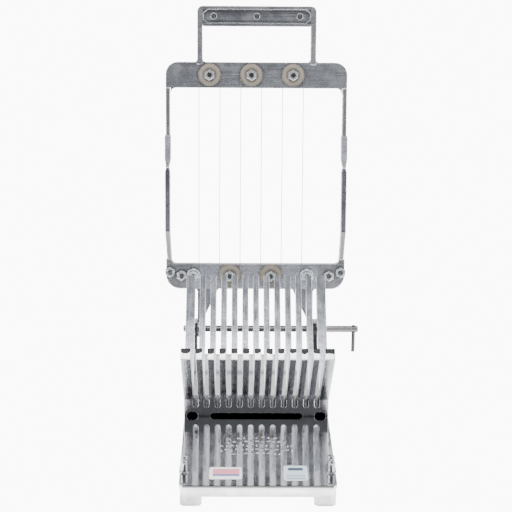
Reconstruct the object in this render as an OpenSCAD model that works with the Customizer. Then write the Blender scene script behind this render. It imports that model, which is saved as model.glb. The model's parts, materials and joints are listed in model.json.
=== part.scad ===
// Countertop wire-frame dicer: a slotted V cradle on a cast base, and a swing-down
// frame strung with one continuous stainless cutting wire. Millimetres, +Z up.
// Origin on the counter, at mid width, below the front foot of the cradle. Front is -Y.

/* [Base casting] */
// Width of the base plate
base_w = 124.5; // [123:0.5:134]
// Height of the plate top above the counter
base_top = 18.3; // [17.5:0.1:18.5]
// Distance of the front edge ahead of the origin
base_front = 131; // [128:1:138]
// Distance of the rear edge behind the origin
base_rear = 138; // [136:1:150]
// Height of the cast feet below the skirt
foot_h = 8.6; // [7:0.1:9.2]
// Wall thickness of the hollow casting
base_wall = 4; // [3:0.5:5]

/* [V cradle] */
// Slot pitch
slot_pitch = 9.525; // [9.3:0.025:9.7]
// Slot width
slot_w = 4.2; // [3:0.1:5]
// Height of the slot bottoms above the counter
slot_floor = 26.4; // [24.5:0.1:27]
// Thickness of both cradle walls
wall_t = 10; // [8:0.5:10.5]
// Length of the front wall, measured inside the V
front_wall = 95; // [80:1:98]
// Length of the back wall, measured inside the V
back_wall = 111; // [100:1:113]
// Width over the two outer ribs
cradle_w = 125; // [122:0.5:126]

/* [Swing frame] */
// Backward lean of the frame at rest, in degrees
lean = 10.2; // [6:0.2:14]
// Overall width of the frame
frame_w = 168; // [164:1:176]
// Thickness of the flat bars
bar_t = 8; // [7:0.5:9]
// Pivot centre to the lower edge of the bottom bar
low_bar_r = 39.5; // [39:0.5:41]
// Height of the bottom bar
bar_h = 22.5; // [22:0.25:23]
// Pivot centre to the lower edge of the top bar
top_bar_r = 224.7; // [222:0.1:232]
// Height of the top bar
top_bar_h = 23.5; // [23:0.25:24.5]
// Width of the side arms
arm_w = 4.6; // [4:0.1:6]
// Pivot centre to the top of the handle
handle_r = 298.8; // [290:0.2:310]
// Height of the hand grip
grip_h = 18.4; // [14:0.2:22]
// Outer width of the handle
handle_w = 108.4; // [96:0.2:120]

/* [Pivot rod] */
// Rod diameter
rod_d = 6; // [4.5:0.1:6.5]
// Radial running clearance in the bores
rod_gap = 0.05; // [0.02:0.01:0.1]

/* [Wire and wheels] */
// Wire diameter
wire_d = 0.6; // [0.5:0.05:0.8]
// Outer diameter of the wire wheels
wheel_d = 20.5; // [20:0.25:21.5]
// Wheel thickness
wheel_t = 4.2; // [3.8:0.1:4.6]
// Clamp screw diameter
screw_d = 4.2; // [4:0.05:4.5]

/* [Hidden] */
$fn = 64;
eps = 0.01;
// pivot position in the fixed frame
pivot_y = 123;
pivot_z = 50.4;
lip_h = 2.8;
lip_over = 0.9;
// cradle section: 90 degree V, both walls at 45 degrees
beam_front = -2;
beam_rear = 24;
beam_under = 21.3;
end_under = 22.2;
crease_z = 34;
q = sqrt(0.5);
// the V corner lies on the inner face of the front wall
inner_sum = beam_front + crease_z + wall_t / q;
inner_diff = 29.4;
corner_y = (inner_sum - inner_diff) / 2;
corner_z = (inner_sum + inner_diff) / 2;
slot_n = 12;
// brackets
bracket_in = 54;
bracket_t = 8;
boss_r = 9.4;
lug_in = 48.1;
lug_t = 5.7;
bore_d = rod_d + 2 * rod_gap;
// stop posts: two ball tops in line, the front one under the lowered top bar
post_x = 58.7;
post_y = [-106.3, -97.7];
post_r = 3.2;
post_top = 29.5;
post_web = 6;
// wheel stack, counted forward from the bar's front face
stack_gap = 0.1;
wheel_back = bar_t / 2 + stack_gap;
wheel_mid = wheel_back + wheel_t / 2;
wheel_front = wheel_back + wheel_t;
nut_h = 3.2;
nut_af = 8.7;
nut_back = wheel_front + stack_gap;
head_d = 8.4;
head_h = 2.6;
screw_end = nut_back + nut_h + 0.5;
flat_nut_back = bar_t / 2;
wire_r = slot_pitch;
drum_r = 5.1;
drum_d = 12.4;
wheel_bore = screw_d + 0.1;
groove_gap = 0.05;
upright_w = 4.8;
channel_depth = 3;
top_wheel_r = top_bar_r + 12;
low_wheel_r = low_bar_r + 12;
wire_x0 = -5.5 * slot_pitch;
top_wheel_x = [-4.5 * slot_pitch, -0.5 * slot_pitch, 3.5 * slot_pitch];
low_wheel_x = [-2.5 * slot_pitch, 1.5 * slot_pitch];
anchor_x = [wire_x0 - drum_r, wire_x0 + 10 * slot_pitch + drum_r];
bolt_xr = [[68.5, low_bar_r + 11.7], [79.3, low_bar_r + 15]];
joint_foot_t = 4;
waist_r = 151.7;
ear_r = low_bar_r + 26.5;
low_bar_drop = 1;
arch_r = 3.2;
end_arch = 9.6;
cradle_screw_x = 45;
cradle_screw_y = 11;
cradle_screw_d = 5;
pin_x = 92.6;
pin_d = 3.4;
rod_left = -67.3;
rod_right = 96.8;
sticker_t = 0.15;
foot_x = 53;
foot_inset = 10.4;
foot_w = 17.2;
foot_corner = 4.5;

// ---- helpers -----------------------------------------------------------
module rrect(w, h, r) {
  square([w - 2 * r, h], center = true);
  square([w, h - 2 * r], center = true);
  for (x = [-1, 1], y = [-1, 1])
    translate([x * (w / 2 - r), y * (h / 2 - r)]) circle(r = r);
}

module fillet2d(r) {
  difference() {
    translate([-eps, -eps]) square([r + eps, r + eps]);
    translate([r, r]) circle(r = r);
  }
}

// places its children in the frame's own axes: X across, Z away from the pivot
module in_frame() {
  translate([0, pivot_y, pivot_z]) rotate([-lean, 0, 0]) children();
}

// extrudes a 2-D outline (x, radius) between two depths of the frame
module plate(front, back) {
  translate([0, back, 0]) rotate([90, 0, 0]) linear_extrude(back - front) children();
}

// a cylinder along the frame's depth, from a front to a back depth
module along_y(x, r, d, front, back) {
  translate([x, back, r]) rotate([90, 0, 0]) cylinder(d = d, h = back - front);
}

module hex_nut(x, r, back_depth, h, bore) {
  translate([x, -back_depth, r]) rotate([90, 30, 0]) difference() {
    cylinder(d = nut_af / cos(30), h = h, $fn = 6);
    translate([0, 0, -1]) cylinder(d = bore, h = h + 2);
  }
}

module grooved_wheel(x, r, d, groove_r) {
  rim = d / 2;
  half = wheel_t / 2;
  floor_r = groove_r - groove_gap;
  translate([x, -wheel_mid, r]) rotate([90, 0, 0]) rotate_extrude()
    polygon([[wheel_bore / 2, -half], [rim - 0.4, -half], [rim, -half + 0.4], [rim, -1.1],
             [floor_r, -0.4], [floor_r, 0.4], [rim, 1.1], [rim, half - 0.4],
             [rim - 0.4, half], [wheel_bore / 2, half]]);
}

// ---- base --------------------------------------------------------------
module base_casting() {
  len = base_front + base_rear;
  mid = (base_rear - base_front) / 2;
  color("silver") difference() {
    union() {
      translate([0, mid, base_top - lip_h]) linear_extrude(lip_h) rrect(base_w, len, 5);
      translate([0, mid, foot_h]) linear_extrude(base_top - lip_h - foot_h)
        rrect(base_w - 2 * lip_over, len - 2 * lip_over, 5);
      for (x = [-1, 1], y = [-base_front + foot_inset, base_rear - foot_inset])
        translate([x * foot_x, y]) linear_extrude(base_top - 1) foot2d();
      for (x = [-1, 1]) {
        bracket(x);
        stop_post(x);
        translate([x * cradle_screw_x, cradle_screw_y, foot_h])
          cylinder(d = 14, h = base_top - 1 - foot_h);
      }
    }
    translate([0, mid, -1]) linear_extrude(base_top - base_wall + 1) difference() {
      rrect(base_w - 2 * lip_over - 2 * base_wall, len - 2 * lip_over - 2 * base_wall, 3);
      for (x = [-1, 1], y = [-len / 2 + foot_inset, len / 2 - foot_inset])
        translate([x * foot_x, y]) foot2d();
      for (x = [-1, 1]) translate([x * cradle_screw_x, cradle_screw_y - mid]) circle(d = 14);
    }
    translate([0, pivot_y, pivot_z]) rotate([0, 90, 0])
      cylinder(d = bore_d, h = base_w + 20, center = true);
    for (x = [-1, 1]) translate([x * cradle_screw_x, cradle_screw_y, -1]) {
      cylinder(d = cradle_screw_d + 0.2, h = base_top + 2);
      cylinder(d = 10.4, h = foot_h + 1 + 3.4);
    }
  }
}

// square cast foot with rounded corners
module foot2d() {
  rrect(foot_w, foot_w, foot_corner);
}

// pair of ball-topped lugs at a front corner, joined by a low web
module stop_post(side) {
  middle = (post_y[0] + post_y[1]) / 2;
  reach = post_y[1] - post_y[0];
  translate([side * post_x, 0, base_top - 1]) {
    for (y = post_y) translate([0, y, 0]) {
      cylinder(r = post_r, h = post_top - post_r - base_top + 1);
      translate([0, 0, post_top - post_r - base_top + 1]) sphere(r = post_r);
    }
    translate([0, middle, 0]) {
      linear_extrude(post_web + 1) square([2 * post_r - 1.6, reach], center = true);
      linear_extrude(2) rrect(2 * post_r + 1.6, reach + 2 * post_r + 1.6, 3);
    }
  }
}

// side cheek carrying the pivot, rising from the rear of the plate
module bracket(side) {
  x0 = side > 0 ? bracket_in : -bracket_in - bracket_t;
  translate([x0, 0, 0]) rotate([90, 0, 90]) linear_extrude(bracket_t) {
    translate([pivot_y, pivot_z]) circle(r = boss_r);
    polygon([[pivot_y - 27, base_top - 1], [pivot_y - 9.2, pivot_z - 2], [pivot_y + boss_r, pivot_z],
             [pivot_y + boss_r + 2, base_top - 1]]);
  }
}

// ---- cradle ------------------------------------------------------------
module food_cradle() {
  f_in = [corner_y - front_wall * q, corner_z + front_wall * q];
  b_in = [corner_y + back_wall * q, corner_z + back_wall * q];
  d = wall_t * q;
  back_foot_z = inner_diff - wall_t / q + beam_rear;
  color("lightgray") difference() {
    translate([-cradle_w / 2, 0, 0]) rotate([90, 0, 90]) linear_extrude(cradle_w)
      polygon([[beam_front, base_top], [beam_rear, base_top], [beam_rear, back_foot_z],
               [b_in[0] + d, b_in[1] - d], b_in, [corner_y, corner_z], f_in,
               [f_in[0] - d, f_in[1] - d], [beam_front, crease_z]]);
    for (i = [0 : slot_n - 1]) translate([(i - (slot_n - 1) / 2) * slot_pitch, 0, 0]) {
      translate([0, 110, slot_floor + slot_w / 2]) rotate([90, 0, 0])
        cylinder(d = slot_w, h = 220);
      translate([-slot_w / 2, -110, slot_floor + slot_w / 2]) cube([slot_w, 220, 110]);
    }
    // long arched recess between the feet, and a half-round one at each end
    translate([0, beam_rear - 4, 0]) rotate([90, 0, 0]) linear_extrude(30) {
      arch2d(0, 80, beam_under);
      for (s = [-1, 1]) arch2d(s * (50.5 + end_arch / 2), end_arch, end_under);
    }
    for (x = [-1, 1]) translate([x * cradle_screw_x, cradle_screw_y, base_top - 1])
      cylinder(d = cradle_screw_d, h = 9);
  }
}

// arch outline: flat foot, quarter-round shoulders
module arch2d(x, w, top) {
  intersection() {
    union() {
      translate([x - w / 2 + arch_r, top - 2 * arch_r]) square([w - 2 * arch_r, 2 * arch_r]);
      for (s = [-1, 1]) translate([x + s * (w / 2 - arch_r), top - arch_r]) circle(r = arch_r);
    }
    translate([x - w, base_top - 1]) square([2 * w, 20]);
  }
}

module cradle_screws() {
  seat = foot_h + 3.4;
  color("gray") for (x = [-1, 1]) translate([x * cradle_screw_x, cradle_screw_y, 0]) {
    translate([0, 0, seat]) cylinder(d = cradle_screw_d, h = base_top + 7 - seat);
    translate([0, 0, seat - 3]) difference() {
      cylinder(d = 8.5, h = 3);
      translate([0, 0, -1]) cylinder(d = 4.6, h = 2.8, $fn = 6);
    }
  }
}

// ---- swing frame -------------------------------------------------------
// flat bar with two rounded corners, along its top or its bottom edge
module bar_outline(w, r0, h, corner, top) {
  square_r = top ? r0 : r0 + corner;
  intersection() {
    union() {
      translate([-w / 2, square_r]) square([w, h - corner]);
      translate([-w / 2 + corner, r0]) square([w - 2 * corner, h]);
      for (x = [-1, 1]) translate([x * (w / 2 - corner), top ? r0 + h - corner : r0 + corner])
        circle(r = corner);
    }
    translate([-w / 2, r0]) square([w, h]);
  }
}

module upper_frame() {
  up_x = (handle_w - upright_w) / 2;
  bar_top = top_bar_r + top_bar_h;
  half = bar_t / 2;
  arm_x = frame_w / 2 - arm_w;
  arm_mid = arm_x + arm_w / 2;
  color("gainsboro") in_frame() difference() {
    union() {
      plate(-half, half) bar_outline(frame_w - 2, top_bar_r, top_bar_h, 11, true);
      for (s = [-1, 1]) mirror([s > 0 ? 0 : 1, 0, 0]) {
        // arm: upper run, raised pad that narrows to a waist, recessed lower run, joint foot
        plate(-half + 0.8, half + joint_foot_t) translate([arm_x, 176])
          square([arm_w - 1, top_bar_r + 4 - 176]);
        plate(-half - 1, half + joint_foot_t) polygon([[arm_x - 0.7, 181], [arm_x + arm_w, 181],
          [arm_x + arm_w, 159], [arm_x + arm_w - 0.8, 155], [arm_mid + 1.4, waist_r],
          [arm_mid - 1.4, waist_r], [arm_x, 155], [arm_x - 0.7, 159]]);
        plate(-half + 1.6, half + joint_foot_t) polygon([[arm_mid - 1.4, waist_r + 0.5],
          [arm_mid + 1.4, waist_r + 0.5], [arm_x + arm_w - 0.6, 149.6], [arm_x + arm_w, 147.5],
          [arm_x + arm_w, 91], [arm_x, 91], [arm_x, 147.5], [arm_x + 0.6, 149.6]]);
        // ramp: the arm's face comes forward and the arm shifts inward to the lower bar
        plate(-half, half + joint_foot_t) polygon([[arm_x - 1.5, ear_r + 0.2],
          [arm_x + arm_w - 2, ear_r + 0.2], [arm_x + arm_w - 0.2, 92], [arm_x, 92]]);
        plate(half + 0.02, half + joint_foot_t) {
          translate([64, low_bar_r + 3]) square([frame_w / 2 - 71, bar_h - 5]);
          translate([arm_x - 1.5, low_bar_r + 9]) square([arm_w, ear_r - low_bar_r - 8]);
          translate([frame_w / 2 - 7, low_bar_r + 9]) circle(r = 6);
          translate([arm_x - 1.5, low_bar_r + bar_h - 2]) mirror([1, 0]) fillet2d(3);
        }
        plate(-half, half) translate([arm_x - 1, top_bar_r]) mirror([1, 1]) fillet2d(5);
        // handle upright with a flared foot and a rounded top
        plate(-5, 5) {
          translate([up_x - upright_w / 2, bar_top - 2]) square([upright_w, handle_r - bar_top - 3]);
          translate([up_x - upright_w / 2, bar_top]) mirror([1, 0]) fillet2d(3);
          translate([up_x + upright_w / 2, bar_top]) fillet2d(3);
          translate([up_x + upright_w / 2 - 5, handle_r - 5]) circle(r = 5);
        }
      }
      plate(-5, 5) translate([-up_x + 3, handle_r - grip_h]) square([2 * up_x - 6, grip_h]);
      plate(-5, 5) translate([-up_x + 0.5, handle_r - grip_h + 1]) square([2 * up_x - 1, grip_h - 5]);
    }
    // shallow channel along the grip with three conical dimples
    plate(-6, -5 + channel_depth) translate([0, handle_r - grip_h / 2]) {
      square([2 * up_x - 14, 12], center = true);
      square([2 * up_x - 6.5, 5.5], center = true);
      for (s = [-1, 1]) polygon([[s * (up_x - 7.1), -6], [s * (up_x - 3.25), -2.75],
                                 [s * (up_x - 3.25), 2.75], [s * (up_x - 7.1), 6]]);
    }
    for (x = [-1, 0, 1]) translate([x * 39.3, -5 + channel_depth - eps, handle_r - grip_h / 2])
      rotate([-90, 0, 0]) cylinder(d1 = 5.4, d2 = 2.2, h = 3);
    for (x = top_wheel_x) along_y(x, top_wheel_r, screw_d, -20, 20);
    for (s = [-1, 1], b = bolt_xr) along_y(s * b[0], b[1], screw_d, -20, 20);
  }
}

module lower_bar() {
  half = bar_t / 2;
  color("gainsboro") in_frame() difference() {
    union() {
      plate(-half, half) {
        bar_outline(frame_w - 2, low_bar_r - low_bar_drop, bar_h + low_bar_drop, 13, false);
        for (s = [-1, 1]) mirror([s > 0 ? 0 : 1, 0, 0]) {
          translate([frame_w / 2 - 6.2, low_bar_r + bar_h - 2]) square([5.2, ear_r - low_bar_r - bar_h + 2]);
          translate([frame_w / 2 - 6.2, low_bar_r + bar_h]) mirror([1, 0]) fillet2d(4);
          translate([lug_in + lug_t, low_bar_r - low_bar_drop]) mirror([0, 1]) fillet2d(3);
          // triangular gusset down to the pivot lug
          polygon([[33.5, low_bar_r + 1], [lug_in + lug_t, low_bar_r + 1], [lug_in + lug_t, 8],
                   [lug_in, 10.5]]);
        }
      }
      for (s = [-1, 1]) mirror([s > 0 ? 0 : 1, 0, 0]) translate([lug_in, 0, 0]) {
        rotate([0, 90, 0]) cylinder(r = 8, h = lug_t);
        translate([0, -half, 0]) cube([lug_t, bar_t, 20]);
      }
    }
    rotate([0, 90, 0]) cylinder(d = bore_d, h = 130, center = true);
    for (x = low_wheel_x) along_y(x, low_wheel_r, screw_d, -20, 20);
    for (x = anchor_x) along_y(x, low_wheel_r, screw_d, -20, 20);
    for (s = [-1, 1], b = bolt_xr) along_y(s * b[0], b[1], screw_d, -20, 20);
  }
}

module pan_screw(x, r, front, back) {
  along_y(x, r, screw_d, -front, back);
  difference() {
    along_y(x, r, head_d, back, back + head_h);
    translate([x - 0.6, back + head_h - 1.1, r - 5]) cube([1.2, 2, 10]);
  }
}

module frame_bolts() {
  color("silver") in_frame() for (s = [-1, 1], b = bolt_xr)
    pan_screw(s * b[0], b[1], flat_nut_back + nut_h + 1, bar_t / 2 + joint_foot_t);
}

module frame_nuts() {
  color("silver") in_frame() for (s = [-1, 1], b = bolt_xr)
    hex_nut(s * b[0], b[1], flat_nut_back, nut_h, screw_d);
}

// ---- pivot -------------------------------------------------------------
module pivot_rod() {
  color("silver") translate([rod_left, pivot_y, pivot_z]) difference() {
    rotate([0, 90, 0]) union() {
      translate([0, 0, 0.8]) cylinder(d = rod_d, h = rod_right - rod_left - 1.6);
      cylinder(d1 = rod_d - 1.6, d2 = rod_d, h = 0.8);
      translate([0, 0, rod_right - rod_left - 0.8]) cylinder(d1 = rod_d, d2 = rod_d - 1.6, h = 0.8);
    }
    translate([pin_x - rod_left, 0, -10]) cylinder(d = pin_d, h = 20);
  }
}

module pull_pin() {
  color("silver") translate([pin_x, pivot_y, pivot_z - 22.5]) cylinder(d = pin_d, h = 26);
}

// ---- wire wheels -------------------------------------------------------
module top_wheel_left() {
  color("tan") in_frame() grooved_wheel(top_wheel_x[0], top_wheel_r, wheel_d, wire_r - wire_d / 2);
}

module top_wheel_center() {
  color("tan") in_frame() grooved_wheel(top_wheel_x[1], top_wheel_r, wheel_d, wire_r - wire_d / 2);
}

module top_wheel_right() {
  color("tan") in_frame() grooved_wheel(top_wheel_x[2], top_wheel_r, wheel_d, wire_r - wire_d / 2);
}

module bottom_wheel_left() {
  color("tan") in_frame() grooved_wheel(low_wheel_x[0], low_wheel_r, wheel_d, wire_r - wire_d / 2);
}

module bottom_wheel_right() {
  color("tan") in_frame() grooved_wheel(low_wheel_x[1], low_wheel_r, wheel_d, wire_r - wire_d / 2);
}

module wheel_screws() {
  color("silver") in_frame() {
    for (x = top_wheel_x) pan_screw(x, top_wheel_r, screw_end, bar_t / 2);
    for (x = low_wheel_x) pan_screw(x, low_wheel_r, screw_end, bar_t / 2);
  }
}

module wheel_nuts() {
  color("silver") in_frame() {
    for (x = top_wheel_x) hex_nut(x, top_wheel_r, nut_back, nut_h, screw_d);
    for (x = low_wheel_x) hex_nut(x, low_wheel_r, nut_back, nut_h, screw_d);
  }
}

// ---- wire anchors ------------------------------------------------------
module anchor_drum_left() {
  color("silver") in_frame() grooved_wheel(anchor_x[0], low_wheel_r, drum_d, drum_r - wire_d / 2);
}

module anchor_drum_right() {
  color("silver") in_frame() grooved_wheel(anchor_x[1], low_wheel_r, drum_d, drum_r - wire_d / 2);
}

module anchor_screws() {
  color("silver") in_frame() for (x = anchor_x) pan_screw(x, low_wheel_r, screw_end, bar_t / 2);
}

module anchor_nuts() {
  color("silver") in_frame() for (x = anchor_x)
    hex_nut(x, low_wheel_r, nut_back, nut_h, screw_d);
}

// ---- cutting wire ------------------------------------------------------
// half loop of wire round a wheel; up = true passes over the wheel
module wire_loop(x, r, radius, up) {
  translate([x, -wheel_mid, r]) rotate([90, 0, 0]) rotate([0, 0, up ? 0 : 180])
    rotate_extrude(angle = 180) translate([radius, 0]) circle(d = wire_d, $fn = 24);
}

module cutting_wire() {
  color("white") in_frame() {
    for (i = [0 : 5]) translate([wire_x0 + 2 * i * slot_pitch, -wheel_mid, low_wheel_r])
      cylinder(d = wire_d, h = top_wheel_r - low_wheel_r, $fn = 24);
    for (x = top_wheel_x) wire_loop(x, top_wheel_r, wire_r, true);
    for (x = low_wheel_x) wire_loop(x, low_wheel_r, wire_r, false);
    for (x = anchor_x) wire_loop(x, low_wheel_r, drum_r, false);
  }
}

// ---- stickers ----------------------------------------------------------
module label_left() {
  color("white") translate([-25.6, -109, base_top]) linear_extrude(sticker_t) rrect(26, 20.8, 2);
}

module label_right() {
  color("lightblue") translate([30.2, -108.6, base_top]) linear_extrude(sticker_t) rrect(18.8, 25.6, 2);
}

base_casting();
food_cradle();
cradle_screws();
upper_frame();
lower_bar();
frame_bolts();
frame_nuts();
pivot_rod();
pull_pin();
top_wheel_left();
top_wheel_center();
top_wheel_right();
bottom_wheel_left();
bottom_wheel_right();
wheel_screws();
wheel_nuts();
anchor_drum_left();
anchor_drum_right();
anchor_screws();
anchor_nuts();
cutting_wire();
label_left();
label_right();
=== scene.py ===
"""Looks for the wire-frame dicer: materials, small relief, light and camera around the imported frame."""
import json
import math
import random

import bpy
from mathutils import Matrix, Vector


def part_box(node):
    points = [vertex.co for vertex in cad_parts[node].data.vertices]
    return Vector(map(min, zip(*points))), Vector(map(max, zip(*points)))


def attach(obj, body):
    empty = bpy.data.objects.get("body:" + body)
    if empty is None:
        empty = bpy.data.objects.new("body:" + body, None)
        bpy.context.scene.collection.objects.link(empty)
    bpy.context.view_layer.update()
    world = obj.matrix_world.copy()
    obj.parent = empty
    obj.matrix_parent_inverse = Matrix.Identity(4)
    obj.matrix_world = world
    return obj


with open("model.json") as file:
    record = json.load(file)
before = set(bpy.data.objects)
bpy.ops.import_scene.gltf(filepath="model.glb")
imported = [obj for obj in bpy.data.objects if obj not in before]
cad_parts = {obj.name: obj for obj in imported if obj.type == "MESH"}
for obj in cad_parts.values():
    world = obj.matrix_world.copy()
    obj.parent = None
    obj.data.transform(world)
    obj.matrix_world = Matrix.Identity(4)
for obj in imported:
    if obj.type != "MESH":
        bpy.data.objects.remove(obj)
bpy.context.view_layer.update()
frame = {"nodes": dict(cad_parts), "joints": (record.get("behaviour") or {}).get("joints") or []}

nodes = frame["nodes"]
joints = {j["name"]: j for j in frame["joints"]}

# ---- places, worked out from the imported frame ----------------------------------
MM = 0.001
PIVOT = joints["frame_swing"]["pos_m"]
TOP_WHEEL, NEXT_WHEEL, BOTTOM_WHEEL = (
    joints[name + "_wheel_turn"] for name in ("top_left", "top_center", "bottom_left"))
LEAN = math.asin(TOP_WHEEL["axis"][2])  # how far the wire frame stands back from upright
FRAME_DEPTH = (0, -math.cos(LEAN), math.sin(LEAN))
ACROSS = (1, 0, 0)
WHEEL_GAP = NEXT_WHEEL["pos_m"][0] - TOP_WHEEL["pos_m"][0]
PITCH = WHEEL_GAP / 4  # from one cradle slot to the next
PLATE_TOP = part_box("label_left")[0].z


def along_frame(pos):
    """Distance of a point from the pivot, measured along the leaning frame."""
    return (pos[1] - PIVOT[1]) * math.sin(LEAN) + (pos[2] - PIVOT[2]) * math.cos(LEAN)


# ---- node material helpers -----------------------------------------------------
class Mat:
    """A material with short names for its nodes; a node's output is passed on as (node, output name)."""

    def __init__(self, name):
        self.m = bpy.data.materials.new(name)
        self.m.use_nodes = True
        self.nt = self.m.node_tree
        self.nt.nodes.clear()
        self.out = self.add("ShaderNodeOutputMaterial")
        self.bsdf = self.add("ShaderNodeBsdfPrincipled")
        self.link(self.bsdf, "BSDF", self.out, "Surface")
        self.tc = self.add("ShaderNodeTexCoord")

    def add(self, kind, **props):
        n = self.nt.nodes.new(kind)
        for k, v in props.items():
            setattr(n, k, v)
        return n

    def link(self, a, out, b, inp):
        self.nt.links.new(a.outputs[out], b.inputs[inp])

    def coords(self, scale=(1, 1, 1), leaning=False):
        """Object coordinates in metres, scaled; leaning turns them into the frame's own axes first."""
        src = self.tc, "Object"
        if leaning:
            turned = self.add("ShaderNodeMapping", vector_type="POINT")
            turned.inputs["Location"].default_value = (
                0.0,
                PIVOT[2] * math.sin(LEAN) - PIVOT[1] * math.cos(LEAN),
                along_frame((0, 0, 0)),
            )
            turned.inputs["Rotation"].default_value = (LEAN, 0, 0)
            self.link(*src, turned, "Vector")
            src = turned, "Vector"
        if tuple(scale) == (1, 1, 1):
            return src
        scaled = self.add("ShaderNodeVectorMath", operation="MULTIPLY")
        self.link(*src, scaled, 0)
        scaled.inputs[1].default_value = scale
        return scaled, "Vector"

    def noise(self, co, scale, detail=4.0, rough=0.55):
        n = self.add("ShaderNodeTexNoise")
        n.inputs["Scale"].default_value = scale
        n.inputs["Detail"].default_value = detail
        n.inputs["Roughness"].default_value = rough
        self.link(*co, n, "Vector")
        return n, "Fac"

    def ramp(self, src, low, high, lo_at=0.35, hi_at=0.65):
        """low where the source is at lo_at or less, high from hi_at on, straight in between."""
        r = self.add("ShaderNodeMapRange")
        for key, v in (("From Min", lo_at), ("From Max", hi_at), ("To Min", low), ("To Max", high)):
            r.inputs[key].default_value = v
        self.link(*src, r, "Value")
        return r, "Result"

    def math(self, op, a, b=0.0):
        n = self.add("ShaderNodeMath", operation=op)
        for i, v in enumerate((a, b)):
            if isinstance(v, tuple):
                self.link(*v, n, i)
            else:
                n.inputs[i].default_value = v
        return n, "Value"

    def times(self, first, *others):
        for v in others:
            first = self.math("MULTIPLY", first, v)
        return first

    def plus(self, a, b):
        return self.math("ADD", a, b)

    def minus(self, a, b):
        return self.math("SUBTRACT", a, b)

    def over(self, v, limit):
        return self.math("GREATER_THAN", v, limit)

    def under(self, v, limit):
        return self.math("LESS_THAN", v, limit)

    def band(self, v, lo, hi):
        """1 where lo < v < hi."""
        return self.times(self.over(v, lo), self.under(v, hi))

    def hill(self, v, start, top, end, foot, height=1.0):
        """Rises from 0 at start to height at top, and falls from end to 0 at foot."""
        return self.times(self.ramp(v, 0.0, height, start, top), self.ramp(v, 1.0, 0.0, end, foot))

    def mix(self, fac, a, b):
        n = self.add("ShaderNodeMix", data_type="RGBA")
        for name, kind, v in (("Factor", "VALUE", fac), ("A", "RGBA", a), ("B", "RGBA", b)):
            sock = next(s for s in n.inputs if s.name == name and s.type == kind)
            if isinstance(v, tuple) and hasattr(v[0], "outputs"):
                self.nt.links.new(v[0].outputs[v[1]], sock)
            else:
                sock.default_value = v if kind == "VALUE" else (*v, 1.0)
        return n, next(i for i, s in enumerate(n.outputs) if s.type == "RGBA")

    def paint(self, col, tint, *masks):
        """The colour col, turned to tint by the product of the masks."""
        return self.mix(self.times(*masks), col, tint)

    def color(self, src):
        self.nt.links.new(src[0].outputs[src[1]], self.bsdf.inputs["Base Color"])

    def normal(self, heights, bevel=0.0005):
        """Chains bumps [(height source, strength, distance)] over rounded edges."""
        last = None
        if bevel:
            b = self.add("ShaderNodeBevel", samples=4)
            b.inputs["Radius"].default_value = bevel
            last = (b, "Normal")
        for src, strength, dist in heights:
            n = self.add("ShaderNodeBump")
            n.inputs["Strength"].default_value = strength
            n.inputs["Distance"].default_value = dist
            self.link(*src, n, "Height")
            if last:
                self.link(*last, n, "Normal")
            last = (n, "Normal")
        if last:
            self.link(*last, self.bsdf, "Normal")

    def rough(self, src):
        self.link(*src, self.bsdf, "Roughness")

    def set(self, **kw):
        for k, v in kw.items():
            self.bsdf.inputs[k.replace("_", " ")].default_value = v


def axis_of(m, vector, axis):
    sep = m.add("ShaderNodeSeparateXYZ")
    m.link(*vector, sep, "Vector")
    return sep, axis


def facing(m, axis):
    """Component of the surface normal in the part's own axes."""
    return axis_of(m, (m.tc, "Normal"), axis)


EDGE_HIGHLIGHT = (0.97, 0.975, 0.98)  # painted highlight: bright metal along rounded edges
# how far the painted edge highlight reaches around an edge
EDGE_HIGHLIGHT_RADIUS = 1.3 * MM


def edge_highlights(m, across):
    """1 on the rounded strip between faces along and faces square to one direction, 0 on the flats; the
    painted edge highlight goes there.
    """
    b = m.add("ShaderNodeBevel", samples=12)
    b.inputs["Radius"].default_value = EDGE_HIGHLIGHT_RADIUS
    own = m.add("ShaderNodeVectorTransform", vector_type="NORMAL",
                convert_from="WORLD", convert_to="OBJECT")
    m.link(b, "Normal", own, "Vector")
    d = m.add("ShaderNodeVectorMath", operation="DOT_PRODUCT")
    m.link(own, "Vector", d, 0)
    d.inputs[1].default_value = across
    size = m.math("ABSOLUTE", (d, "Value"))
    return m.hill(size, 0.12, 0.40, 0.90, 0.985, 0.9)


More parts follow.
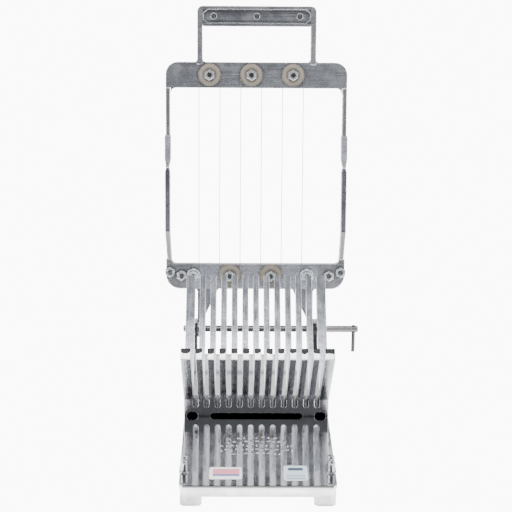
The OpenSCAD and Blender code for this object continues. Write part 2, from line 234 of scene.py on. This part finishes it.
def metal(name, light, dark, rough, grain, leaning=False, grain_bump=0.05, rough_span=0.1, blotch=60,
          bevel=0.0005, pits=0.1, wave=0.0, corner_shade=0.0, zones=None, mask=None, flats=None, metallic=1.0,
          edge_tint=1.0, dull=None):
    """Metal with brushing along the axis whose grain scale is small, blotches, pits and painted shade in
    corners.

    zones and mask recolour places on the piece, some of them with painted light and shade, flats is the
    direction its wide faces look in, for painted edge highlights, and dull gives extra roughness by place."""
    m = Mat(name)
    base = m.coords(leaning=leaning)
    brushing = m.noise(m.coords(grain, leaning), 1.0, 5.0, 0.65)
    blotches = m.noise(base, blotch, 3.0)
    pitting = m.noise(base, 1100, 2.0)
    tone = m.plus(m.times(brushing, 0.6), m.times(blotches, 0.4))
    col = m.mix(m.ramp(tone, 0.0, 1.0, 0.36, 0.64), dark, light)
    relief = []
    if zones:
        col, kept, relief = zones(m, base, col)
        brushing = m.plus(m.times(brushing, kept), m.times(m.minus(1.0, kept), 0.5))
    if mask:
        col = mask(m, base, col)
    # painted highlight along the rounded edges of the wide faces
    if flats:
        col = m.paint(col, EDGE_HIGHLIGHT, edge_highlights(m, flats))
    # painted shade: the colour darkens where ambient occlusion finds corners, crevices and gaps between
    # parts
    if corner_shade:
        ao = m.add("ShaderNodeAmbientOcclusion", samples=10)
        ao.inputs["Distance"].default_value = 5 * MM
        open_air = m.ramp((ao, "AO"), 0.0, 1.0, 0.25, 0.85)
        col = m.paint(col, (0.05, 0.05, 0.055), m.minus(1.0, open_air), corner_shade)
    m.color(col)
    m.set(Metallic=metallic, Specular_Tint=(edge_tint, edge_tint, edge_tint, 1.0))
    r = m.plus(m.ramp(brushing, rough - rough_span, rough + rough_span, 0.3, 0.7),
               m.ramp(blotches, -0.04, 0.05))
    if dull:
        r = m.plus(r, dull(m, base))
    m.rough(r)
    m.normal([(blotches, 0.25, 0.0006 + wave), (brushing, grain_bump, 0.0004), (pitting, pits, 0.00012)]
             + relief, bevel)
    return m.m


# ---- marks on each metal piece -------------------------------------------------
# The wire frame, by distance from the pivot, and by distance from mid width
LUGS_TO = 38.4 * MM
LOWER_BAR = 39 * MM, 66 * MM
ARM_RUN = 66 * MM, 222 * MM
ARM_RAMP = 67 * MM, 92 * MM
ARM_RECESS = 92 * MM, 151 * MM
ARM_PAD = 151 * MM, 181 * MM
PAD_LINE = 180 * MM, 181.8 * MM
POSTS_FROM = 251 * MM
GRIP_CHANNEL = 283.5 * MM, 295.7 * MM
ARM_OUT = 76 * MM
POST_OUT = 49.6 * MM
CHANNEL_OUT = 49 * MM


def arm_zones(m, co, col):
    """Tones of the wire frame by distance r from the pivot, along the arms, bars, posts and grip. Many of
    them are
    painted light and shade: a dark recess and a lighter pad with a painted highlight on its ledge on each
    arm, a near white ramp, a brighter middle and shaded ends on the lower bar, shaded lugs, and painted
    shade across the grip channel.

    Also returns how much of the brushing stays, as the narrow arms are smoother than the bars, and the
    slopes: the ramp's face leans down towards the lower bar and the pad's face leans a little too."""
    x, r = axis_of(m, co, "X"), axis_of(m, co, "Z")
    away = m.math("ABSOLUTE", x)
    arm = m.over(away, ARM_OUT)
    run, ramp, recess, pad = (m.times(arm, m.band(r, *part))
                              for part in (ARM_RUN, ARM_RAMP, ARM_RECESS, ARM_PAD))
    col = m.paint(col, (0.565, 0.58, 0.635), run, 0.8)
    # painted shade: the recessed lower part of each arm is darker
    col = m.paint(col, (0.26, 0.26, 0.30), recess, 0.8)
    # painted light: the pad, which faces a little upwards, is lighter
    col = m.paint(col, (0.78, 0.82, 0.90), pad, 0.75)
    # painted light: the ramp, which faces upwards, is near white
    col = m.paint(col, (0.95, 0.95, 0.95), ramp, 0.95)
    # painted highlight: a white line along the pad's top ledge
    col = m.paint(col, (1.0, 1.0, 1.0), arm, m.band(r, *PAD_LINE))
    bar = m.band(r, *LOWER_BAR)
    # painted light: the lower bar brighter across its middle
    col = m.paint(col, (0.90, 0.90, 0.92), bar, m.ramp(away, 0.75, 0.0, 30 * MM, 52 * MM))
    # painted shade at the lower bar's ends
    col = m.paint(col, (0.20, 0.20, 0.21), bar, m.ramp(away, 0.0, 0.62, 50 * MM, 60 * MM))
    lugs = m.under(r, LUGS_TO)
    # painted shadow on the lugs by the pivot
    col = m.paint(col, (0.10, 0.10, 0.105), lugs, m.ramp(away, 0.55, 0.92, 46 * MM, 48.5 * MM))
    col = m.paint(col, (0.86, 0.87, 0.91), m.over(r, POSTS_FROM), m.over(away, POST_OUT), 0.7)
    # painted shade across the grip channel, darkest at its top and bottom borders
    channel = m.times(m.band(r, *GRIP_CHANNEL), m.under(away, CHANNEL_OUT))
    shade = m.math("MAXIMUM", m.ramp(r, 0.0, 0.75, 288 * MM, 295.6 * MM),
                   m.ramp(r, 0.7, 0.0, 283.6 * MM, 287 * MM))
    col = m.paint(col, (0.12, 0.12, 0.13), channel, shade)
    slopes = [(m.times(ramp, m.minus(r, ARM_RAMP[0])), 1.0, -0.28),
              (m.times(pad, m.minus(ARM_PAD[1], r)), 1.0, -0.06)]
    return col, m.minus(1.0, m.times(run, 0.85)), slopes


def dark_threads(m, co, col):
    """Darker thread at the front of each screw, bright head at the back."""
    return m.paint(col, (0.05, 0.05, 0.055), m.under(axis_of(m, co, "Y"), -4.6 * MM), 0.8)


def rod_shading(m, co, col):
    """Painted light and shade by which way the surface faces: a thin dark line along the top, a bright
    line below it, a darker front and a darker underside.
    """
    up = facing(m, "Z")
    col = m.paint(col, (0.06, 0.06, 0.06), m.ramp(up, 0.0, 0.75, 0.86, 0.96))
    col = m.paint(col, (0.06, 0.06, 0.06), m.ramp(up, 0.68, 0.0, 0.34, 0.56))
    # painted shade on the rod's underside
    return m.paint(col, (0.05, 0.05, 0.05), m.ramp(up, 0.75, 0.0, -0.6, 0.0))


# The cradle: solid beam below the ribs, and the front ends of the ribs
BEAM_FACE_TOP = 36.5 * MM
BEAM_SLOTS_TOP = 36 * MM
BEAM_REAR = 25 * MM
RIB_ENDS_FROM = 98.7 * MM
RIB_ENDS_FRONT = -55 * MM
OUTER_RIBS = 53 * MM
OVAL_Z, OVAL_HALF_H = 103.6 * MM, 2.1 * MM
OVAL_HALF_PITCHES = 0.36
WIDE_OVAL_X, WIDE_OVAL_HALF_W = 58.5 * MM, 5.0 * MM


def cradle_marks_and_shading(m, co, col):
    """Painted shade on the undersides, the beam's lower front face and the inner slots, painted edge
    highlights, and dark ovals on the front rib ends, which are painted near white as painted light.
    """
    geo = m.add("ShaderNodeNewGeometry")
    y, z = axis_of(m, co, "Y"), axis_of(m, co, "Z")
    ny, nz = (axis_of(m, (geo, "Normal"), a) for a in "YZ")
    # painted shade on faces turned downwards, darker higher up
    underside_shade = m.mix(m.ramp(z, 0.0, 1.0, 45 * MM, 85 * MM), (0.40, 0.397, 0.405), (0.25, 0.25, 0.257))
    col = m.paint(col, underside_shade, m.ramp(nz, 0.85, 0.0, -0.6, -0.2), m.under(ny, 0.2))
    # painted shade on the beam's front face below the crease
    col = m.paint(col, (0.33, 0.33, 0.34), m.under(ny, -0.6), m.under(z, BEAM_FACE_TOP), 0.8)
    # painted highlight along the rounded rib edges
    col = m.paint(col, EDGE_HIGHLIGHT, edge_highlights(m, ACROSS))
    # painted shade inside the slots
    slots = m.times(m.under(z, BEAM_SLOTS_TOP), m.over(ny, -0.6), m.under(y, BEAM_REAR))
    col = m.paint(col, (0.13, 0.13, 0.135), slots, 0.8)
    # painted light: the upward-facing front rib ends near white
    ends = m.times(m.over(z, RIB_ENDS_FROM), m.under(y, RIB_ENDS_FRONT), m.over(nz, 0.2))
    col = m.paint(col, (0.95, 0.95, 0.95), ends)
    return m.paint(col, (0.025, 0.025, 0.026), ends, rib_ovals(m, co, z))


def rib_ovals(m, co, z):
    """1 inside one ragged, squared-off oval on each rib end; the outermost ribs have a wide one."""
    x = axis_of(m, co, "X")
    away = m.math("ABSOLUTE", x)
    outer = m.over(away, OUTER_RIBS)
    from_rib = m.minus(m.math("FRACT", m.plus(m.math("DIVIDE", x, PITCH), 20.5)), 0.5)
    narrow = m.math("DIVIDE", from_rib, OVAL_HALF_PITCHES)
    wide = m.math("DIVIDE", m.minus(away, WIDE_OVAL_X), WIDE_OVAL_HALF_W)
    u = m.plus(m.times(m.minus(1.0, outer), narrow), m.times(outer, wide))
    v = m.math("DIVIDE", m.minus(z, OVAL_Z), OVAL_HALF_H)
    ragged = m.ramp(m.noise(co, 170, 2.0), -0.3, 0.5, 0.3, 0.7)
    reach = m.plus(m.math("POWER", m.math("ABSOLUTE", u), 3.0), m.times(v, v))
    return m.under(m.plus(reach, ragged), 1.0)


# The base: front edge, plate, corner posts, skirt and pivot cheeks
FRONT_EDGE = -129.2 * MM
FRONT_EDGE_FROM = 16.9 * MM
FRONT_EDGE_OUT = 59.5 * MM
PLATE_Z = 17 * MM, 19 * MM
BEHIND_CRADLE = 30 * MM, 134 * MM
POSTS_ABOVE, POSTS_AHEAD = 19.6 * MM, -90 * MM
SKIRT_TOP = 15.4 * MM
CHEEK_X, CHEEK_Y, CHEEK_FROM = (53 * MM, 61.9 * MM), (90 * MM, 117.5 * MM), 36 * MM
CHEEK_INSIDE = 58 * MM


def base_marks_and_shading(m, co, col):
    """Polished plate with a painted dark line on its front edge and painted light with a painted grey band
    behind the cradle, skirt painted light above and shaded towards its cloudy foot, mottled corner posts,
    and painted shadow on the pivot cheeks.
    """
    x, y, z = (axis_of(m, co, a) for a in "XYZ")
    away = m.math("ABSOLUTE", x)
    # painted shade: a dark line along the plate's front edge
    edge = m.times(m.under(y, FRONT_EDGE), m.over(z, FRONT_EDGE_FROM), m.under(away, FRONT_EDGE_OUT))
    col = m.paint(col, (0.05, 0.05, 0.05), edge, 0.85)
    plate = m.times(m.over(facing(m, "Z"), 0.9), m.band(z, *PLATE_Z))
    col = m.paint(col, (0.25, 0.25, 0.26), plate, 0.42)
    # painted light: the plate behind the cradle painted near white
    rear = m.times(plate, m.band(y, *BEHIND_CRADLE))
    col = m.paint(col, (0.97, 0.97, 0.97), rear, 0.95)
    mottle = m.ramp(m.noise(co, 260, 2.0), 0.2, 0.75, 0.4, 0.6)
    col = m.paint(col, (0.25, 0.25, 0.26), m.over(z, POSTS_ABOVE), m.under(y, POSTS_AHEAD), mottle)
    # painted shade: a grey band across the plate behind the cradle
    col = m.paint(col, (0.25, 0.25, 0.26), rear, m.hill(y, 84 * MM, 93 * MM, 94 * MM, 103 * MM), 0.85)
    skirt = m.under(z, SKIRT_TOP)
    # painted light: the skirt's upper part white
    col = m.paint(col, (1.0, 1.0, 1.0), skirt, m.ramp(z, 0.0, 0.95, 8 * MM, 12 * MM))
    cloud = m.ramp(m.noise(co, 75, 3.0), 0.2, 1.0, 0.38, 0.62)
    # painted shade towards the skirt's foot, broken up by random clouds
    col = m.paint(col, (0.42, 0.43, 0.44), skirt, m.ramp(z, 0.95, 0.1, 7 * MM, 15 * MM), cloud)
    cheek = m.times(m.band(away, *CHEEK_X), m.over(z, CHEEK_FROM), m.band(y, *CHEEK_Y))
    # painted shadow on the pivot cheeks, darkest on their inner part
    col = m.paint(col, (0.10, 0.10, 0.11), cheek, 0.6)
    return m.paint(col, (0.02, 0.02, 0.02), cheek, m.under(away, CHEEK_INSIDE), 0.85)


def rear_plate(m, co):
    """Extra roughness on the plate behind the cradle."""
    return m.times(m.band(axis_of(m, co, "Y"), *BEHIND_CRADLE), 0.30)


# ---- metals --------------------------------------------------------------------
POLISHED = metal("polished casting", (0.76, 0.765, 0.785), (0.66, 0.665, 0.69), 0.055, (700, 60, 700),
                 grain_bump=0.004, rough_span=0.02, blotch=45, bevel=0.9 * MM, pits=0.02, wave=-0.0004,
                 corner_shade=0.9, mask=base_marks_and_shading, dull=rear_plate)
CRADLE = metal("ground ribs", (0.66, 0.69, 0.76), (0.43, 0.455, 0.515), 0.17, (1500, 40, 40),
               grain_bump=0.10, rough_span=0.07, blotch=70, bevel=0.9 * MM, corner_shade=0.9, mask=cradle_marks_and_shading)
BAR = metal("brushed bar", (0.68, 0.70, 0.765), (0.515, 0.53, 0.59), 0.26, (14, 1500, 1500), True,
            grain_bump=0.12, rough_span=0.08, blotch=80, bevel=1.0 * MM, corner_shade=0.75, zones=arm_zones,
            flats=FRAME_DEPTH)
ZINC = metal("zinc plate", (0.97, 1.0, 1.0), (0.80, 0.84, 0.87), 0.16, (300, 300, 300), True,
             grain_bump=0.08, rough_span=0.06, blotch=420, bevel=1.2 * MM, wave=0.0006, corner_shade=0.6,
             metallic=0.85)
THREAD = metal("screw zinc", (0.80, 0.82, 0.84), (0.50, 0.52, 0.54), 0.22, (500, 3000, 500), True,
               grain_bump=0.3, rough_span=0.06, blotch=300, bevel=0.3 * MM, corner_shade=0.8, mask=dark_threads)
STEEL = metal("drawn stainless", (0.58, 0.555, 0.53), (0.40, 0.385, 0.37), 0.18, (20, 1500, 1500),
              grain_bump=0.06, rough_span=0.08, blotch=150, bevel=0.3 * MM, corner_shade=0.5, mask=rod_shading,
              edge_tint=0.3)
PIN = metal("dull pin", (0.10, 0.098, 0.095), (0.05, 0.05, 0.05), 0.36, (1500, 1500, 60),
            grain_bump=0.1, rough_span=0.08, blotch=400, bevel=0.3 * MM, edge_tint=0.2)
WIRE = metal("cutting wire", (0.42, 0.41, 0.39), (0.30, 0.29, 0.28), 0.30, (2000, 2000, 60), True,
             grain_bump=0.02, rough_span=0.05, bevel=0)


# ---- resin and stickers --------------------------------------------------------
def resin(name):
    """Tan moulded resin: dark hub, paler ring near the rim.

    The wheels sit WHEEL_GAP apart in two rows, so the place gives the distance d from the nearest axle."""
    m = Mat(name)
    co = m.coords(leaning=True)
    cloud = m.noise(co, 260, 5.0, 0.6)
    fine = m.noise(co, 1400, 3.0, 0.6)
    x, r = axis_of(m, co, "X"), axis_of(m, co, "Z")
    low_at, top_at = BOTTOM_WHEEL["pos_m"], TOP_WHEEL["pos_m"]
    low_r, top_r = along_frame(low_at), along_frame(top_at)
    is_top = m.over(r, (low_r + top_r) / 2)
    shift = m.ramp(is_top, -low_at[0], -top_at[0], 0.0, 1.0)
    step = m.math("DIVIDE", m.plus(x, shift), WHEEL_GAP)
    dx = m.times(m.minus(m.math("FRACT", m.plus(step, 10.5)), 0.5), WHEEL_GAP)
    dz = m.minus(r, m.ramp(is_top, low_r, top_r, 0.0, 1.0))
    d = m.math("SQRT", m.plus(m.times(dx, dx), m.times(dz, dz)))
    col = m.mix(m.ramp(cloud, 0.0, 1.0), (0.155, 0.128, 0.10), (0.235, 0.203, 0.168))
    col = m.paint(col, (0.085, 0.075, 0.066), m.ramp(d, 0.8, 0.0, 4.9 * MM, 6.6 * MM))
    ring = m.hill(d, 6.2 * MM, 7.4 * MM, 8.6 * MM, 9.6 * MM)
    col = m.paint(col, (0.36, 0.32, 0.275), ring, 0.5)
    m.color(col)
    m.rough(m.ramp(fine, 0.34, 0.55))
    m.set(IOR=1.48)
    m.normal([(cloud, 0.15, 0.0004), (fine, 0.2, 0.0001), (ring, 0.5, 0.0005)], 0.4 * MM)
    return m.m


def sticker(name, node, print_on):
    """A printed film: print_on(m, u, v) gives the colour, with u and v from 0 to 1 over the film."""
    m = Mat(name)
    co = m.coords()
    low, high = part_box(node)
    u, v = (m.ramp(axis_of(m, co, a), 0.0, 1.0, low[k], high[k]) for k, a in enumerate("XY"))
    m.color(print_on(m, u, v))
    grain = m.noise(co, 700, 3.0)
    m.rough(m.ramp(grain, 0.30, 0.46))
    m.normal([(grain, 0.08, 0.0001)], 0.1 * MM)
    return m.m


def rect(m, u, v, u0, u1, v0, v1):
    return m.times(m.band(u, u0, u1), m.band(v, v0, v1))


def print_left(m, u, v):
    """White film with a red block over a narrow blue bar."""
    col = m.mix(rect(m, u, v, 0.104, 0.923, 0.269, 0.856), (0.97, 0.97, 0.97), (0.78, 0.30, 0.36))
    return m.paint(col, (0.12, 0.18, 0.42), rect(m, u, v, 0.104, 0.923, 0.269, 0.409))


def print_right(m, u, v):
    """Pale blue film in a white border, with a dark bar and two thin lines."""
    col = m.mix(rect(m, u, v, 0.032, 0.968, 0.023, 0.977), (0.90, 0.92, 0.94), (0.60, 0.72, 0.80))
    col = m.paint(col, (0.05, 0.07, 0.12), rect(m, u, v, 0.181, 0.819, 0.672, 0.852))
    for at in (0.305, 0.125):
        col = m.paint(col, (0.12, 0.16, 0.22), rect(m, u, v, 0.106, 0.894, at - 0.027, at + 0.027))
    return col


RESIN = resin("tan resin")
STICKER_L = sticker("film with colour blocks", "label_left", print_left)
STICKER_R = sticker("film with bars", "label_right", print_right)

# ---- which material each piece wears -------------------------------------------
LOOKS = {
    "base_casting": POLISHED,
    "food_cradle": CRADLE,
    "cradle_screws": ZINC,
    "upper_frame": BAR,
    "lower_bar": BAR,
    "frame_bolts": THREAD,
    "frame_nuts": ZINC,
    "pivot_rod": STEEL,
    "pull_pin": PIN,
    "top_wheel_left": RESIN,
    "top_wheel_center": RESIN,
    "top_wheel_right": RESIN,
    "bottom_wheel_left": RESIN,
    "bottom_wheel_right": RESIN,
    "wheel_screws": THREAD,
    "wheel_nuts": ZINC,
    "anchor_drum_left": ZINC,
    "anchor_drum_right": ZINC,
    "anchor_screws": THREAD,
    "anchor_nuts": ZINC,
    "cutting_wire": WIRE,
    "label_left": STICKER_L,
    "label_right": STICKER_R,
}


def dress(name, material):
    """Gives a piece its material, with smooth round faces and crisp edges."""
    o = nodes[name]
    o.data.materials.clear()
    o.data.materials.append(material)
    weld = o.modifiers.new("weld", "WELD")
    weld.merge_threshold = 1e-6
    split = o.modifiers.new("crisp edges", "EDGE_SPLIT")
    split.split_angle = math.radians(32)
    weighted = o.modifiers.new("flat faces stay flat", "WEIGHTED_NORMAL")
    weighted.keep_sharp = True
    o.data.shade_smooth()


for node_name, look in LOOKS.items():
    dress(node_name, look)


# ---- raised ornament on the plate ----------------------------------------------
DOME_SIDES, DOME_RINGS = 12, 3
DOME_SINK = 0.05 * MM


def link_object(name, data):
    o = bpy.data.objects.new(name, data)
    bpy.context.scene.collection.objects.link(o)
    return o


def domes(name, items, material):
    """One mesh of low oval domes on the plate: items are (x, y, half width, half depth, height) in mm."""
    verts, faces = [], []
    ground = PLATE_TOP - DOME_SINK
    for x, y, half_w, half_d, tall in items:
        start = len(verts)
        for k in range(DOME_RINGS):
            up = k / DOME_RINGS * math.pi / 2
            for i in range(DOME_SIDES):
                turn = 2 * math.pi * i / DOME_SIDES
                verts.append(((x + half_w * math.cos(turn) * math.cos(up)) * MM,
                              (y + half_d * math.sin(turn) * math.cos(up)) * MM,
                              ground + tall * math.sin(up) * MM))
        verts.append((x * MM, y * MM, ground + tall * MM))
        for i in range(DOME_SIDES):
            j = (i + 1) % DOME_SIDES
            for p in range(start, start + (DOME_RINGS - 1) * DOME_SIDES, DOME_SIDES):
                faces.append((p + i, p + j, p + DOME_SIDES + j, p + DOME_SIDES + i))
            last = start + (DOME_RINGS - 1) * DOME_SIDES
            faces.append((last + i, last + j, len(verts) - 1))
    mesh = bpy.data.meshes.new(name)
    mesh.from_pydata(verts, [], faces)
    mesh.materials.append(material)
    mesh.shade_smooth()
    return link_object(name, mesh)


def ornament():
    """Five curved rows of domes, long and short ones in turn, each a little out of line."""
    rows = ((-43.0, 7, 15.0), (-50.5, 11, 23.0), (-58.0, 15, 29.0), (-65.5, 15, 29.0), (-72.5, 9, 19.0))
    scatter = random.Random(7)
    items = []
    for row, (y, count, half) in enumerate(rows):
        for k in range(count):
            f = 2 * k / (count - 1) - 1
            half_w, half_d = (1.05, 2.5) if (row + k) % 2 else (1.6, 1.3)
            items.append((f * half + scatter.uniform(-0.5, 0.5),
                          y - 2.2 * f * f + scatter.uniform(-0.6, 0.6),
                          half_w, half_d, scatter.uniform(0.7, 1.1)))
    return items


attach(domes("cast_ornament", ornament(), POLISHED), "base")


# ---- stage ---------------------------------------------------------------------
FLOOR_SIZE = 16.0
FLOOR_CAMERA = 10.5  # strength of the white that the camera sees
FLOOR_NEAR, FLOOR_FAR, FLOOR_BEHIND = 4.6, 0.4, 1.2  # strengths that reflections see
NEAR_FADE = 0.35, 1.1  # metres from the origin
BEHIND_FADE = 0.25, 1.2  # metres behind it
WORLD_LOW, WORLD_HORIZON, WORLD_TOP, WORLD_BACK = 0.15, 0.28, 0.58, 1.4
WORLD_LEFT, WORLD_RIGHT, WORLD_SIDE_DIP = 2.6, 1.8, 0.22


def floor():
    """Pale floor, seen white by the camera; reflections see a lit patch that fades out in front."""
    m = Mat("pale floor")
    co = m.coords()
    m.color(m.mix(m.ramp(m.noise(co, 3.0, 3.0), 0.0, 1.0), (0.80, 0.80, 0.80), (0.84, 0.84, 0.84)))
    m.set(Roughness=0.8)
    length = m.add("ShaderNodeVectorMath", operation="LENGTH")
    m.link(*co, length, 0)
    near = m.ramp((length, "Value"), FLOOR_NEAR, FLOOR_FAR, *NEAR_FADE)
    behind = m.ramp(axis_of(m, co, "Y"), 0.0, FLOOR_BEHIND, *BEHIND_FADE)
    patches = m.ramp(m.noise(co, 28.0, 3.0), 0.72, 1.2)
    mirrored = m.times(m.math("MAXIMUM", near, behind), patches)
    path = m.add("ShaderNodeLightPath")
    camera, glossy = (path, "Is Camera Ray"), (path, "Is Glossy Ray")
    glow = m.add("ShaderNodeEmission")
    m.link(*m.plus(m.times(camera, FLOOR_CAMERA), m.times(glossy, mirrored)), glow, "Strength")
    mix = m.add("ShaderNodeMixShader")
    m.link(*m.math("MAXIMUM", camera, glossy), mix, 0)
    m.link(m.bsdf, "BSDF", mix, 1)
    m.link(glow, "Emission", mix, 2)
    m.link(mix, "Shader", m.out, "Surface")
    mesh = bpy.data.meshes.new("floor")
    h = FLOOR_SIZE / 2
    mesh.from_pydata([(-h, -h, 0), (h, -h, 0), (h, h, 0), (-h, h, 0)], [], [(0, 1, 2, 3)])
    mesh.materials.append(m.m)
    link_object("floor", mesh)


def area(name, at, aim, size, power, mirrored=True):
    """Rectangular lamp; mirrored tells whether reflections show it."""
    lamp = bpy.data.lights.new(name, "AREA")
    lamp.shape = "RECTANGLE"
    lamp.size, lamp.size_y = size
    lamp.energy = power
    o = link_object(name, lamp)
    o.location = at
    o.rotation_euler = (Vector(aim) - Vector(at)).to_track_quat("-Z", "Y").to_euler()
    o.visible_glossy = mirrored


def studio():
    """World light by direction: dim behind the camera, brighter overhead, beside and behind the object.

    The camera itself sees the same white as on the floor."""
    world = bpy.data.worlds.new("studio")
    bpy.context.scene.world = world
    world.use_nodes = True
    nt = world.node_tree
    nt.nodes.clear()
    tc = nt.nodes.new("ShaderNodeTexCoord")
    sep = nt.nodes.new("ShaderNodeSeparateXYZ")
    nt.links.new(tc.outputs["Generated"], sep.inputs["Vector"])
    x, y, z = (sep.outputs[a] for a in "XYZ")

    def span(sock, lo, hi, low, high):
        n = nt.nodes.new("ShaderNodeMapRange")
        n.interpolation_type = "SMOOTHSTEP"
        for key, v in (("From Min", lo), ("From Max", hi), ("To Min", low), ("To Max", high)):
            n.inputs[key].default_value = v
        nt.links.new(sock, n.inputs["Value"])
        return n.outputs["Result"]

    def chain(op, first, *others):
        for v in others:
            n = nt.nodes.new("ShaderNodeMath")
            n.operation = op
            for k, part in enumerate((first, v)):
                if isinstance(part, float):
                    n.inputs[k].default_value = part
                else:
                    nt.links.new(part, n.inputs[k])
            first = n.outputs["Value"]
        return first

    up = span(z, 0.25, 0.85, 0.0, WORLD_TOP)
    back = span(y, -0.2, 0.45, 0.0, WORLD_BACK)
    horizon = span(z, 0.04, 0.22, WORLD_HORIZON, 0.0)
    left = chain("MULTIPLY", span(x, -0.80, -0.40, WORLD_LEFT, 0.0),
                 span(x, -0.99, -0.86, WORLD_SIDE_DIP, 1.0))
    right = chain("MULTIPLY", span(x, 0.40, 0.80, 0.0, WORLD_RIGHT),
                  span(x, 0.86, 0.99, 1.0, WORLD_SIDE_DIP))
    level = chain("ADD", chain("MAXIMUM", up, back, left, right, horizon), WORLD_LOW)
    noise = nt.nodes.new("ShaderNodeTexNoise")
    noise.inputs["Scale"].default_value = 2.6
    noise.inputs["Detail"].default_value = 2.0
    nt.links.new(tc.outputs["Generated"], noise.inputs["Vector"])
    patchy = span(noise.outputs["Fac"], 0.35, 0.65, 0.55, 1.45)
    camera = nt.nodes.new("ShaderNodeLightPath").outputs["Is Camera Ray"]
    unseen = chain("MULTIPLY", level, patchy, chain("SUBTRACT", 1.0, camera))
    bg = nt.nodes.new("ShaderNodeBackground")
    bg.inputs["Color"].default_value = (0.97, 0.985, 1.0, 1)
    nt.links.new(chain("ADD", unseen, chain("MULTIPLY", camera, FLOOR_CAMERA)), bg.inputs["Strength"])
    out = nt.nodes.new("ShaderNodeOutputWorld")
    nt.links.new(bg.outputs["Background"], out.inputs["Surface"])


floor()
studio()
area("overhead", at=(0.1, -0.3, 1.8), aim=(0, 0, 0.1), size=(1.6, 1.0), power=40, mirrored=False)
area("left", at=(-1.6, -0.5, 0.9), aim=(0, 0, 0.15), size=(0.4, 1.2), power=7)
area("right", at=(1.7, -0.2, 0.8), aim=(0, 0, 0.15), size=(0.4, 1.0), power=7)
area("card", at=(0, -0.26, 0.62), aim=(0, -0.26, 0), size=(0.24, 0.14), power=0.5)

# ---- camera --------------------------------------------------------------------
CAMERA_AT = (-0.0178, -1.148, 0.5522)
CAMERA_YAW, CAMERA_DOWN, CAMERA_ROLL = (math.radians(a) for a in (-0.82, 18.68, 0.50))
LENS = 102.1

cam = bpy.data.cameras.new("camera")
cam.sensor_width = 36
cam.lens = LENS
cam_o = link_object("camera", cam)
cam_o.location = CAMERA_AT
cam_o.rotation_euler = (Matrix.Rotation(CAMERA_YAW, 3, "Z")
                        @ Matrix.Rotation(math.radians(90) - CAMERA_DOWN, 3, "X")
                        @ Matrix.Rotation(CAMERA_ROLL, 3, "Z")).to_euler()
bpy.context.scene.camera = cam_o
